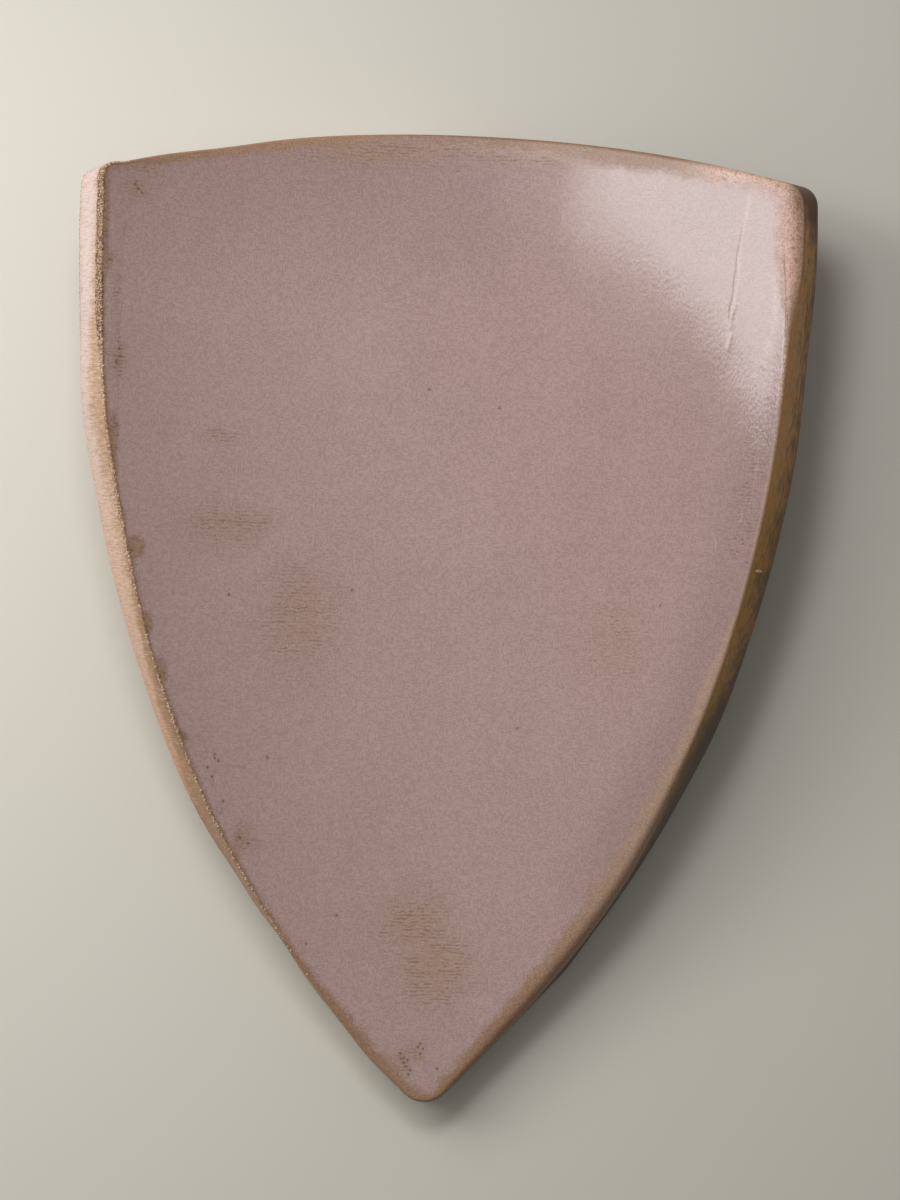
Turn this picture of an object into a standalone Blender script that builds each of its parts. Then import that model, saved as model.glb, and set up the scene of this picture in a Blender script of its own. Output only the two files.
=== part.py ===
"""A padded kite shield: one slab of foam under a latex skin, bent into a shallow trough.

The shield is made as its maker makes it. A flat blank is drawn with arcs, its edges are
rounded, and the blank is then bent about its length. It lies on the outside of the bend, with
its hollow side up, on a narrow flat along its middle line.

Frame: +Z is up, +Y runs toward the top edge and X runs across. The origin is under the middle
of the shield, on the surface that it lies on.
"""

import math

import bmesh
import bpy
from mathutils import Vector

# Driving dimensions, in metres
SHIELD_HEIGHT = 0.750  # from the crown of the top edge to the rounded tip
BLANK_WIDTH = 0.584  # across the flat blank, at its widest line
WIDEST_BELOW_CROWN = 0.0945  # how far down that widest line runs
TOP_ARC_RADIUS = 0.980  # the shallow arch of the top edge
CORNER_RADIUS = 0.017  # the two upper corners
TIP_RADIUS = 0.024  # the rounded point
THICKNESS = 0.036  # foam and skin together
OUTER_BEND_RADIUS = 0.447  # of the outside of the bend
OUTER_EDGE_ROUND = 0.006  # where the wall meets the outer face
INNER_EDGE_ROUND = 0.003  # where the wall meets the hollow face
REST_FLAT_WIDTH = 0.070  # the flat spot that the shield lies on

# How finely the curves are cut, in metres along the curve or in steps
OUTLINE_STEP = 0.012
STRIP_WIDTH = 0.012
CORNER_STEPS = 5
TIP_STEPS = 6
OUTER_ROUND_STEPS = 4
INNER_ROUND_STEPS = 3
SNAP = 0.0004  # a strip line this close to a corner of the outline passes through it
SHARP_ANGLE = math.radians(35)

# The mauve-brown coat on the latex, as linear red, green, blue and alpha
SKIN_COLOR = (0.366, 0.254, 0.227, 1.0)
SKIN_ROUGHNESS = 0.5


def arc_stations(centre, radius, start, end, steps):
    """Points along an arc, each with the direction that faces out of the blank there."""
    stations = []
    for i in range(steps + 1):
        angle = start + (end - start) * i / steps
        outward = Vector((math.cos(angle), math.sin(angle)))
        stations.append((centre + outward * radius, outward))
    return stations


def steps_along(radius, start, end):
    """How many steps of the outline's own length an arc needs."""
    return max(1, round(radius * abs(end - start) / OUTLINE_STEP))


def side_arc():
    """Centre and radius of the right side's arc.

    The arc runs straight down at the widest line, and passes smoothly into the circle that
    rounds the tip. Both conditions together give the radius.
    """
    half_width = BLANK_WIDTH / 2
    drop = SHIELD_HEIGHT - WIDEST_BELOW_CROWN - TIP_RADIUS
    radius = (drop**2 + half_width**2 - TIP_RADIUS**2) / (2 * (half_width - TIP_RADIUS))
    crown = SHIELD_HEIGHT / 2
    centre = Vector((half_width - radius, crown - WIDEST_BELOW_CROWN))
    return centre, radius


def corner_centre(top_centre, side_centre, side_radius):
    """Centre of the circle that rounds the corner between the top arc and the side arc."""
    reach_top = TOP_ARC_RADIUS - CORNER_RADIUS
    reach_side = side_radius - CORNER_RADIUS
    between = side_centre - top_centre
    distance = between.length
    along = between / distance
    across = Vector((-along.y, along.x))
    foot = (reach_top**2 - reach_side**2 + distance**2) / (2 * distance)
    height = math.sqrt(reach_top**2 - foot**2)
    middle = top_centre + along * foot
    both = (middle + across * height, middle - across * height)
    return max(both, key=lambda point: point.x)


def half_outline():
    """The right half of the blank's outline, from the crown down to the tip."""
    crown = SHIELD_HEIGHT / 2
    top_centre = Vector((0, crown - TOP_ARC_RADIUS))
    side_centre, side_radius = side_arc()
    corner = corner_centre(top_centre, side_centre, side_radius)
    tip_centre = Vector((0, TIP_RADIUS - crown))

    from_top = corner - top_centre
    from_side = corner - side_centre
    to_tip = tip_centre - side_centre
    top_end = math.atan2(from_top.y, from_top.x)
    side_start = math.atan2(from_side.y, from_side.x)
    side_end = math.atan2(to_tip.y, to_tip.x)
    upright = math.pi / 2

    top_steps = steps_along(TOP_ARC_RADIUS, upright, top_end)
    side_steps = steps_along(side_radius, side_start, side_end)
    top = arc_stations(top_centre, TOP_ARC_RADIUS, upright, top_end, top_steps)
    rounded = arc_stations(corner, CORNER_RADIUS, top_end, side_start, CORNER_STEPS)
    side = arc_stations(side_centre, side_radius, side_start, side_end, side_steps)
    tip = arc_stations(tip_centre, TIP_RADIUS, side_end, -upright, TIP_STEPS)
    return top + rounded[1:] + side[1:] + tip[1:]


def whole_outline():
    """Both halves as one closed loop, clockwise as seen from the hollow side."""
    right = half_outline()
    left = []
    for point, outward in reversed(right[1:-1]):
        left.append((Vector((-point.x, point.y)), Vector((-outward.x, outward.y))))
    return right + left


def edge_profile():
    """The wall in section, from the outer face to the hollow face, as inset and height."""
    profile = []
    for i in range(OUTER_ROUND_STEPS + 1):
        turn = math.pi / 2 * i / OUTER_ROUND_STEPS
        inset = OUTER_EDGE_ROUND * (1 - math.sin(turn))
        profile.append((inset, OUTER_EDGE_ROUND * (1 - math.cos(turn))))
    for i in range(INNER_ROUND_STEPS + 1):
        turn = math.pi / 2 * i / INNER_ROUND_STEPS
        inset = INNER_EDGE_ROUND * (1 - math.cos(turn))
        profile.append((inset, THICKNESS - INNER_EDGE_ROUND * (1 - math.sin(turn))))
    return profile


def add_rings(bm):
    """One ring of vertices round the blank for each point of the edge's section."""
    rings = []
    for inset, height in edge_profile():
        ring = []
        for point, outward in whole_outline():
            flat = point - outward * inset
            ring.append(bm.verts.new((flat.x, flat.y, height)))
        rings.append(ring)
    return rings


def add_walls(bm, rings):
    """The faces between each ring and the next."""
    for lower, upper in zip(rings, rings[1:]):
        for i in range(len(lower)):
            after = (i + 1) % len(lower)
            bm.faces.new((lower[i], upper[i], upper[after], lower[after]))


def strip_lines(first):
    """Places across the blank where a face is cut, so that it can bend: first, then evenly."""
    last = BLANK_WIDTH / 2
    lines = []
    place = first
    while place < last:
        lines.extend((-place, place))
        place += STRIP_WIDTH
    return lines


def cut_into_strips(bm, face, first):
    """Cuts one flat face of the blank along its length."""
    pieces = [face]
    for place in strip_lines(first):
        verts = {v for piece in pieces for v in piece.verts}
        edges = {e for piece in pieces for e in piece.edges}
        cut = bmesh.ops.bisect_plane(
            bm,
            geom=list(verts) + list(edges) + pieces,
            dist=SNAP,
            plane_co=(place, 0, 0),
            plane_no=(1, 0, 0),
        )
        pieces = [g for g in cut["geom"] if isinstance(g, bmesh.types.BMFace)]


def bent(point):
    """Where a point of the flat blank goes when the blank is bent about its length."""
    middle_radius = OUTER_BEND_RADIUS - THICKNESS / 2
    angle = point.x / middle_radius
    radius = OUTER_BEND_RADIUS - point.z
    return Vector(
        (radius * math.sin(angle), point.y, OUTER_BEND_RADIUS - radius * math.cos(angle))
    )


def rest_flat_depth():
    """How deep the flat spot is cut into the outside of the bend."""
    half = REST_FLAT_WIDTH / 2
    return OUTER_BEND_RADIUS - math.sqrt(OUTER_BEND_RADIUS**2 - half**2)


def rest_flat_line():
    """Where the flat spot's border runs on the flat blank."""
    middle_radius = OUTER_BEND_RADIUS - THICKNESS / 2
    return middle_radius * math.asin(REST_FLAT_WIDTH / 2 / OUTER_BEND_RADIUS)


def bend_and_settle(bm):
    """Bends the blank, flattens what would reach below the flat spot and sets it on z = 0."""
    depth = rest_flat_depth()
    for vert in bm.verts:
        place = bent(vert.co)
        vert.co = (place.x, place.y, max(place.z, depth) - depth)


def skin_material():
    """The latex skin under its thin coat."""
    material = bpy.data.materials.new("latex_skin")
    material.use_nodes = True
    shader = material.node_tree.nodes["Principled BSDF"]
    shader.inputs["Base Color"].default_value = SKIN_COLOR
    shader.inputs["Roughness"].default_value = SKIN_ROUGHNESS
    shader.inputs["Metallic"].default_value = 0.0
    return material


def shield_mesh():
    """The whole shield as one closed mesh."""
    bm = bmesh.new()
    rings = add_rings(bm)
    add_walls(bm, rings)
    outer_face = bm.faces.new(rings[0])
    hollow_face = bm.faces.new(list(reversed(rings[-1])))
    cut_into_strips(bm, outer_face, rest_flat_line())
    cut_into_strips(bm, hollow_face, STRIP_WIDTH / 2)
    bmesh.ops.triangulate(bm, faces=list(bm.faces))
    bend_and_settle(bm)
    bmesh.ops.recalc_face_normals(bm, faces=list(bm.faces))
    mesh = bpy.data.meshes.new("kite_shield")
    bm.to_mesh(mesh)
    bm.free()
    mesh.shade_smooth()
    mesh.set_sharp_from_angle(angle=SHARP_ANGLE)
    return mesh


def main():
    for old in list(bpy.data.objects):
        bpy.data.objects.remove(old)
    mesh = shield_mesh()
    mesh.materials.append(skin_material())
    shield = bpy.data.objects.new("kite_shield", mesh)
    bpy.context.scene.collection.objects.link(shield)


main()
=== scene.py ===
# %% [markdown]
# # A padded kite shield, lying with its hollow side up
# This shield is a thick slab of foam under a skin of latex, bent into a shallow trough. A player
# carries it with the hollow side toward the body. It is one piece: no grip or strap is on it yet.
#
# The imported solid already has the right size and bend. It is loaded first and never moved. What
# this lesson adds is everything that the eye finds at arm's length: the hand-cut edge, the
# wrinkles and pinholes of the skin, the thin mauve coat, and the bare latex that shows at the rim.

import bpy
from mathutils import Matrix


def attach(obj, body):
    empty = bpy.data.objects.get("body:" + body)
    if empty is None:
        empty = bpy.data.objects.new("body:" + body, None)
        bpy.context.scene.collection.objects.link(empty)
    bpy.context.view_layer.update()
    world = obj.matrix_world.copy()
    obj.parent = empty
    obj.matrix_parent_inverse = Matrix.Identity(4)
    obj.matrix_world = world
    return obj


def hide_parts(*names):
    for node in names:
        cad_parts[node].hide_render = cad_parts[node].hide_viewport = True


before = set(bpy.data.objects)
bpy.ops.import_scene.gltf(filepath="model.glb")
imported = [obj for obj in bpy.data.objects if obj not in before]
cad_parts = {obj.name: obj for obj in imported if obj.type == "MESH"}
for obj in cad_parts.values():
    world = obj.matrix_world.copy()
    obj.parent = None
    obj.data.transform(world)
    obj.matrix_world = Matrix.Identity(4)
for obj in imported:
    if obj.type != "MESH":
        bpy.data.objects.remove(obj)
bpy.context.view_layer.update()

# %% The tools that the later cells use
import math
from functools import reduce

import bmesh
import bpy
import numpy as np
from mathutils import Matrix, Vector
from mathutils.geometry import delaunay_2d_cdt
from mathutils.kdtree import KDTree

MM = 0.001

# %% [markdown]
# ## The blank, drawn with arcs
# A maker of such shields draws the outline on a flat sheet of foam with a long string for a
# compass: one arc for the top edge, one for each side, and small circles for the corners and the
# tip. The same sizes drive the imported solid, so the dressed shield and the solid agree.
#
# Each station on the outline keeps the direction that faces out of the blank. Everything at the
# edge is later measured along that direction.

# %% The blank's sizes, in metres
SHIELD_HEIGHT = 0.750
BLANK_WIDTH = 0.584
WIDEST_BELOW_CROWN = 0.0945
TOP_ARC_RADIUS = 0.980
CORNER_RADIUS = 0.017
TIP_RADIUS = 0.024
THICKNESS = 0.036
OUTER_BEND_RADIUS = 0.447
OUTER_EDGE_ROUND = 0.006
REST_FLAT_WIDTH = 0.070
SKIN_CLEARANCE = 0.0004  # the relief of the skin stays this far inside the solid
OUTLINE_STEP = 0.0021
CROWN = SHIELD_HEIGHT / 2
print("blank:", BLANK_WIDTH, "by", SHIELD_HEIGHT, "m, thickness", THICKNESS)


# %% Arcs and the half outline
def arc(centre, radius, start, end):
    """Points along an arc, each with the direction that faces out of the blank there."""
    steps = max(2, round(radius * abs(end - start) / OUTLINE_STEP))
    angles = [start + (end - start) * i / steps for i in range(steps + 1)]
    directions = [Vector((math.cos(angle), math.sin(angle))) for angle in angles]
    return [(centre + outward * radius, outward) for outward in directions]


def side_arc():
    """Centre and radius of the side's arc: upright at the widest line, smooth into the tip."""
    half = BLANK_WIDTH / 2
    drop = SHIELD_HEIGHT - WIDEST_BELOW_CROWN - TIP_RADIUS
    radius = (drop**2 + half**2 - TIP_RADIUS**2) / (2 * (half - TIP_RADIUS))
    return Vector((half - radius, CROWN - WIDEST_BELOW_CROWN)), radius


def corner_centre(top_centre, side_centre, side_radius):
    """Centre of the small circle that touches the top arc and the side arc from inside."""
    reach_top = TOP_ARC_RADIUS - CORNER_RADIUS
    reach_side = side_radius - CORNER_RADIUS
    between = side_centre - top_centre
    along = between.normalized()
    foot = (reach_top**2 - reach_side**2 + between.length**2) / (2 * between.length)
    height = math.sqrt(reach_top**2 - foot**2)
    return top_centre + along * foot + Vector((along.y, -along.x)) * height


def angle_of(direction):
    """The angle of a direction, from +X."""
    return math.atan2(direction.y, direction.x)


def half_outline():
    """The right half of the outline, from the crown down to the tip."""
    top = Vector((0, CROWN - TOP_ARC_RADIUS))
    side, side_radius = side_arc()
    corner = corner_centre(top, side, side_radius)
    tip = Vector((0, TIP_RADIUS - CROWN))
    upright = math.pi / 2
    corner_start = angle_of(corner - top)
    corner_end = angle_of(corner - side)
    tip_start = angle_of(tip - side)
    stations = arc(top, TOP_ARC_RADIUS, upright, corner_start)
    stations += arc(corner, CORNER_RADIUS, corner_start, corner_end)[1:]
    stations += arc(side, side_radius, corner_end, tip_start)[1:]
    stations += arc(tip, TIP_RADIUS, tip_start, -upright)[1:]
    return stations


right_half = half_outline()
left_half = [
    (Vector((-point.x, point.y)), Vector((-outward.x, outward.y)))
    for point, outward in reversed(right_half[1:-1])
]
outline = right_half + left_half
station_places = np.array([point for point, outward in outline])
station_outward = np.array([outward for point, outward in outline])
print("outline:", len(outline), "stations")

# %% [markdown]
# ## Cut by hand
# The edge of a foam shield is cut with a long knife and is never quite true. Each uneven place is
# one small hill or hollow on the outline: where it is on the blank, how far it spreads, and how
# far the knife strayed, outward if positive. The knife also leans: then the outer side of the
# wall ends further in than its hollow side, or further out if the lean is negative. All are in
# millimetres. A smooth bell curve is enough here, because a knife wanders slowly.

# %% Where the knife strayed, and where it leaned
KNIFE_STRAYS = (  # where, how far it spreads, and how far outward
    ((-185, 352), 46, -2.2), ((-281, 150), 45, 2.4), ((-190, -140), 60, 1.4),
    ((-50, -340), 24, 1.8), ((291, 190), 50, -0.8), ((150, -200), 80, 2.2),
    ((225, -60), 60, 0.8),
)
KNIFE_LEANS = (  # where, how far it spreads, and how far further in the outer side ends
    ((-292, 232), 50, 1.3), ((-142, -200), 32, 2.0), ((-110, -250), 30, 3.3),
    ((291, 200), 50, 1.8), ((222, -80), 45, -1.2), ((150, -200), 80, 2.0),
    ((98, -265), 22, -1.6),
)


def bell(places, centre, spread):
    """1 at the centre, which is given in millimetres, and falling smoothly to 0."""
    away = np.linalg.norm(places - np.array(centre) * MM, axis=1)
    return np.exp(-((away / (spread * MM)) ** 2))


def all_bells(places, bells):
    """The sum of several bells, in metres."""
    return sum(by * MM * bell(places, centre, spread) for centre, spread, by in bells)


strayed = all_bells(station_places, KNIFE_STRAYS) - SKIN_CLEARANCE
leaned = all_bells(station_places, KNIFE_LEANS)
cut_places = station_places + station_outward * strayed[:, None]
print("knife strays, mm:", round(strayed.min() / MM, 2), "to", round(strayed.max() / MM, 2))
print("knife leans, mm:", round(leaned.min() / MM, 2), "to", round(leaned.max() / MM, 2))

# %% [markdown]
# ## The edge in section
# Before the skin goes on, the maker sands the edge. The outer side gets an even rounding of 6 mm.
# On the hollow side the sanding is uneven: almost sharp down the left, and broad at the upper
# right, where the skin rolls over the edge, and again at the lower right. The rounding is
# therefore a curve along the outline, given at a few heights and read in between.

# %% How broad the hollow side's rounding is, in millimetres
RIGHT_ROUND = {  # at each height on the blank
    -375: 4.5, -320: 9.0, -240: 9.0, -150: 7.0, -90: 4.5, 0: 3.2, 200: 3.0,
    235: 5.5, 275: 10.5, 315: 11.0, 331: 8.5, 338: 4.5, 375: 3.5,
}
LEFT_ROUND = 1.6
HOLLOW_EDGE_PULLS = (  # where the hollow side reaches further out than the outline
    ((-288, 330), 11, 2.8), ((-240, -30), 40, 1.0),
)
OUTER_STEPS = 6
WALL_STEPS = 8
INNER_STEPS = 7
MIDDLE_BAND = 60  # left passes into right over this width, in millimetres


def left_to_right(places, left, right):
    """One value on the left, the other on the right, changing over the middle of the blank."""
    share = np.clip(places[:, 0] / (MIDDLE_BAND * MM) + 0.5, 0, 1)
    return (left + (right - left) * share) * MM


def along_side(curve, heights):
    """What a curve gives at these heights, read in between the heights that it names."""
    return np.interp(heights, list(curve), list(curve.values()))


right_round = along_side(RIGHT_ROUND, station_places[:, 1] / MM)
inner_round = left_to_right(station_places, LEFT_ROUND, right_round)
edge_pull = all_bells(station_places, HOLLOW_EDGE_PULLS)
low_side = SKIN_CLEARANCE
high_side = THICKNESS - SKIN_CLEARANCE


def edge_section():
    """Rings of (inset, height), from the outer face up the wall to the hollow face."""
    rings = []
    for i in range(OUTER_STEPS + 1):
        turn = math.pi / 2 * i / OUTER_STEPS
        inset = OUTER_EDGE_ROUND * (1 - math.sin(turn))
        height = low_side + OUTER_EDGE_ROUND * (1 - math.cos(turn))
        rings.append((inset + leaned, np.full(len(outline), height)))
    bottom = low_side + OUTER_EDGE_ROUND
    top = high_side - inner_round
    for i in range(1, WALL_STEPS):
        share = i / WALL_STEPS
        inset = leaned * (1 - share) - edge_pull * share
        rings.append((inset, bottom + (top - bottom) * share))
    for i in range(INNER_STEPS + 1):
        turn = math.pi / 2 * i / INNER_STEPS
        inset = inner_round * (1 - math.cos(turn)) - edge_pull
        rings.append((inset, high_side - inner_round * (1 - math.sin(turn))))
    return rings


section = edge_section()
ring_count = len(section)
roundings = [round(value / MM, 1) for value in (inner_round.min(), inner_round.max())]
print("edge:", ring_count, "rings, rounding from and to, in mm:", roundings)

# %% [markdown]
# ## Marks that the skin carries
# Latex is brushed on in thin coats over fabric-like foam, so it keeps every slip: pinholes where
# a bubble burst, hairlines from a loose bristle, and wrinkles where the skin slid before it set.
# They are real relief here, so the mesh needs finer triangles just there. Each mark is therefore
# both a list of places for the mesh to refine and a height for the skin to take.
#
# Places are on the flat blank, across and up, in millimetres from its middle.

# %% Pinholes, hairlines and wrinkles
PINHOLES = (
    (45, 164), (-70, 20), (-171, 14), (-12, 177), (67, -83), (-99, -253), (6, 346), (-259, 317),
    (-179, -108), (-179, -111), (-185, -118), (-181, -125), (-171, -144), (-156, -172), (-75, -231),
    (-17, -340), (-17, -344), (-12, -350), (-4, -329), (-4, -337), (10, -348),
    (-20, -337), (-14, -342), (-19, -341), (-15, -347), (-13, -353), (-2, -333), (-6, -332),
    (256, 49), (279, 130), (281, 126), (288.5, 222.6),
    (251, 66), (252, 63), (247, 57), (259, 56), (182, 15), (-135, -110), (-176, -113), (-149, -176),
    (-262, 320), (-256, 314), (-271, 190), (-274, 186), (-272, 196),
)
HAIRLINES = (
    ((-185, -118), (-166, -117), (-148, -118)),
    ((-178, -150), (-161, -158)),
    ((-152, -183), (-141, -193)),
    ((223, -51), (215, -71)),
    ((-268, 296), (-271, 285), (-272, 277), (-274, 232), (-273, 180), (-271, 142)),
    ((-261, 61), (-254, 63), (-249, 60), (-245, 53)),
    ((264, 130), (262, 118), (260, 104), (257, 93)),
    ((253, 102), (251, 92), (249, 80)),
    ((228, 71), (228, 58)),
    # This hairline runs just left of the wrinkle: a shallow groove whose dark colour is painted
    # shadow of the ridge
    ((243, 301), (241, 289), (239, 281), (239, 270), (237, 262), (237, 252), (234, 241),
     (234, 232)),
    ((234, 62), (244, 60)),
    ((231, 51), (246, 50)),
)
WRINKLES = (
    ((249, 324), (247, 309), (243, 297), (243, 285), (241, 277), (242, 266), (240, 255), (239, 243),
     (235, 232), (236, 221), (234, 210)),
)
FOLDS = (((274, 318), (276, 300), (277, 280), (275, 257), (274, 231), (266, 198)),)
PATH_STEP = 0.7  # between the places that stand for a path, in millimetres


def along_paths(paths):
    """Places along paths of straight runs, close together, in metres."""
    places = []
    for path in paths:
        for start, end in zip(path, path[1:]):
            start, end = Vector(start), Vector(end)
            count = max(1, round((end - start).length / PATH_STEP))
            places += [start.lerp(end, i / count) for i in range(count)]
        places.append(Vector(path[-1]))
    return np.array(places) * MM


hairline_places, wrinkle_places, fold_places = map(along_paths, (HAIRLINES, WRINKLES, FOLDS))
pinhole_places = np.array(PINHOLES) * MM
print("marks:", len(PINHOLES), "pinholes,", len(HAIRLINES), "hairlines,", len(WRINKLES), "wrinkles")

# %% [markdown]
# ## The two faces, as a net of small triangles
# A flat face that is going to be bent and dimpled needs vertices inside it. Equal-sided triangles
# take a bend in any direction without showing a grain, so the net is a lattice of them. Blender's
# Delaunay triangulation joins the lattice to the ring of vertices at the edge.

# %% A lattice of equal-sided triangles, finer near the marks
HOLLOW_SPACING = 3.1
OUTER_SPACING = 5.0
RIM_GAP = 0.6  # of the spacing: no place of the net is nearer to the ring


def lattice(spacing, low, high):
    """Corners of equal-sided triangles between two corners of a box, in metres."""
    spacing *= MM
    rise = spacing * math.sqrt(0.75)
    rows = np.arange(math.floor(low[1] / rise), math.ceil(high[1] / rise) + 1)
    columns = np.arange(math.floor(low[0] / spacing), math.ceil(high[0] / spacing) + 1)
    across, up = np.meshgrid(columns, rows)
    return np.stack(((across + 0.5 * (up % 2)) * spacing, up * rise), axis=2).reshape(-1, 2)


def nearest(places, marks):
    """Which mark is nearest to each place, and how far away it is."""
    finder = KDTree(len(marks))
    for i, mark in enumerate(marks):
        finder.insert((*mark, 0), i)
    finder.balance()
    found = [finder.find((*place, 0)) for place in places]
    return np.array([which for _, which, _ in found]), np.array([away for _, _, away in found])


def refined(places, marks, reach, spacing):
    """The places, with those near the marks taken out and a finer lattice put in."""
    coarse = places[nearest(places, marks)[1] > reach * MM]
    margin = (reach + spacing) * MM
    fine = lattice(spacing, marks.min(0) - margin, marks.max(0) + margin)
    return np.vstack((coarse, fine[nearest(fine, marks)[1] <= reach * MM]))


def inside_ring(places, ring, spacing):
    """Only the places inside the ring, and not too near it."""
    station = nearest(places, ring)[0]
    depth = np.sum((ring[station] - places) * station_outward[station], axis=1)
    return places[depth > RIM_GAP * spacing * MM]


FINER_NEAR = (  # marks, how far round them the net is finer, and how fine, in millimetres
    (fold_places, 7.0, 1.8),
    (wrinkle_places, 4.0, 1.1),
    (hairline_places, 1.6, 0.9),
    (pinhole_places, 1.7, 0.5),
)
ring_flat = [cut_places - station_outward * inset[:, None] for inset, height in section]
low, high = cut_places.min(0), cut_places.max(0)
hollow_net = lattice(HOLLOW_SPACING, low, high)
for marks, reach, spacing in FINER_NEAR:
    hollow_net = refined(hollow_net, marks, reach, spacing)
hollow_net = inside_ring(hollow_net, ring_flat[-1], HOLLOW_SPACING)
outer_net = inside_ring(lattice(OUTER_SPACING, low, high), ring_flat[0], OUTER_SPACING)
print("net:", len(hollow_net), "places on the hollow side,", len(outer_net), "on the outer side")

# %% Triangulate a net inside its ring
INSIDE_ONLY = 1
SAME_PLACE = 1e-7


def triangulate(ring, net):
    """Triangles over the ring and the net, as indices: the ring's places first."""
    places = [Vector(place) for place in ring] + [Vector(place) for place in net]
    rim = [(i, (i + 1) % len(ring)) for i in range(len(ring))]
    _, _, faces, sources, _, _ = delaunay_2d_cdt(places, rim, [], INSIDE_ONLY, SAME_PLACE)
    return [[sources[corner][0] for corner in face] for face in faces]


hollow_faces = triangulate(ring_flat[-1], hollow_net)
outer_faces = triangulate(ring_flat[0], outer_net)
print("triangles:", len(hollow_faces), "hollow side,", len(outer_faces), "outer side")

# %% [markdown]
# ## The flat blank as one closed mesh
# The rings make the wall, and the two nets close it. The outer face is turned over, so that every
# triangle faces out of the foam.

# %% Join wall and faces
station_count = len(outline)
wall_places = np.vstack(
    [np.column_stack((flat, height)) for flat, (inset, height) in zip(ring_flat, section)]
)
hollow_places = np.insert(hollow_net, 2, high_side, axis=1)
outer_places = np.insert(outer_net, 2, low_side, axis=1)
flat_places = np.vstack((wall_places, hollow_places, outer_places))
hollow_start = len(wall_places)
outer_start = hollow_start + len(hollow_net)
last_ring = (ring_count - 1) * station_count

faces = []
for ring in range(ring_count - 1):
    for i in range(station_count):
        after = (i + 1) % station_count
        lower = ring * station_count
        upper = lower + station_count
        faces.append((lower + i, upper + i, upper + after, lower + after))


def renumbered(face, ring_start, net_start):
    """A net's triangle with its corners counted as in the whole blank."""
    return [ring_start + i if i < station_count else net_start + i - station_count for i in face]


faces += [renumbered(face, last_ring, hollow_start) for face in hollow_faces]
faces += [renumbered(reversed(face), 0, outer_start) for face in outer_faces]


def put_in_scene(name, data):
    """A new object with this mesh, light or camera, linked to the scene."""
    thing = bpy.data.objects.new(name, data)
    bpy.context.scene.collection.objects.link(thing)
    return thing


blank_mesh = bpy.data.meshes.new("kite_shield_skin")
blank_mesh.from_pydata([tuple(place) for place in flat_places], [], faces)
blank_mesh.validate()
shield = put_in_scene("kite_shield_skin", blank_mesh)
print("blank:", len(blank_mesh.vertices), "vertices,", len(blank_mesh.polygons), "faces")

# %% [markdown]
# ## What each vertex knows about itself
# The finish follows the shield's own form: the coat stops near the rim, dirt sits in the crease.
# So each vertex keeps its place on the flat blank, and how strongly each kind of mark is there.
# The material reads these attributes, and the same pattern then bends with the foam.

# %% Smudges, and how far in from the rim the coat stops
SMUDGES = (  # where, how far it spreads across and up, and how strong it is
    ((-176, 66), (30, 14), 0.8), ((-152, 70), (18, 9), 0.6), ((-112, 0), (30, 42), 0.7),
    ((-12, -236), (28, 24), 0.95), ((5, -270), (28, 28), 0.95), ((145, -12), (24, 36), 0.4),
    ((3, 364), (62, 7), 0.9), ((-183, 135), (17, 6), 0.5), ((-252, 332), (16, 5), 0.6),
    ((263, 128), (9, 24), 0.8), ((256, 88), (9, 26), 0.9), ((249, 62), (10, 8), 0.8),
    ((-152, -172), (9, 10), 0.7), ((-273, 188), (7, 14), 0.8), ((-276, 235), (5, 36), 0.5),
    ((-260, 316), (9, 7), 0.9), ((-62, 357), (60, 9), 0.8), ((60, 358), (40, 9), 0.7),
    ((47, -328), (6, 8), 0.7), ((-8, -338), (6, 7), 1.0), ((-19, -344), (7, 9), 1.0),
)
OLIVE_PATCHES = (
    ((-276, 128), (7, 26), 1.0), ((-253, 48), (10, 13), 1.0), ((-241, -9), (7, 12), 1.0),
    ((-229, -46), (10, 14), 1.0), ((-208, -95), (9, 7), 1.0), ((-158, -192), (6, 40), 0.7),
    ((-288, 290), (5, 50), 0.8), ((-285, 262), (7, 12), 0.9), ((40, 366), (40, 5), 0.7),
    ((50, -333), (9, 7), 1.0),
)
LEFT_STOPS = {  # at each height, how far in from the rim the coat stops
    -375: 6.0, -345: 8.0, -318: 7.0, -300: 4.5, -270: 3.5, -200: 2.2, -60: 2.0,
    236: 2.0, 252: 2.8, 330: 3.4, 345: 4.0,
}
RIGHT_STOPS = {
    -318: 5.0, -300: 4.5, -270: 6.0, -200: 8.0, -60: 7.5, -25: 5.5, 10: 0.0,
    236: 0.3, 252: 3.8, 330: 4.8, 345: 5.5,
}
TOP_STOPS = (((-150, 352), 110, 1.5), ((120, 360), 60, 3.5), ((215, 354), 50, 3.5))

vertex_flat = flat_places[:, :2]


def patches(places, power):
    """How strong the oval patches are at each vertex; a higher power gives a flatter top."""
    strength = np.zeros(len(flat_places))
    for centre, size, amount in places:
        away = (vertex_flat - np.array(centre) * MM) / (np.array(size) * MM)
        fallen = np.exp(-(np.sum(away**2, axis=1) ** power))
        strength = np.maximum(strength, amount * fallen)
    return strength


vertex_heights = vertex_flat[:, 1] / MM
left_stop = along_side(LEFT_STOPS, vertex_heights)
right_stop = along_side(RIGHT_STOPS, vertex_heights)
coat_stop = left_to_right(vertex_flat, left_stop, right_stop)
coat_stop += all_bells(vertex_flat, TOP_STOPS)
smudged = patches(SMUDGES, 1)
olive = patches(OLIVE_PATCHES, 2)
print("coat stops, mm:", round(coat_stop.min() / MM, 1), "to", round(coat_stop.max() / MM, 1))
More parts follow.
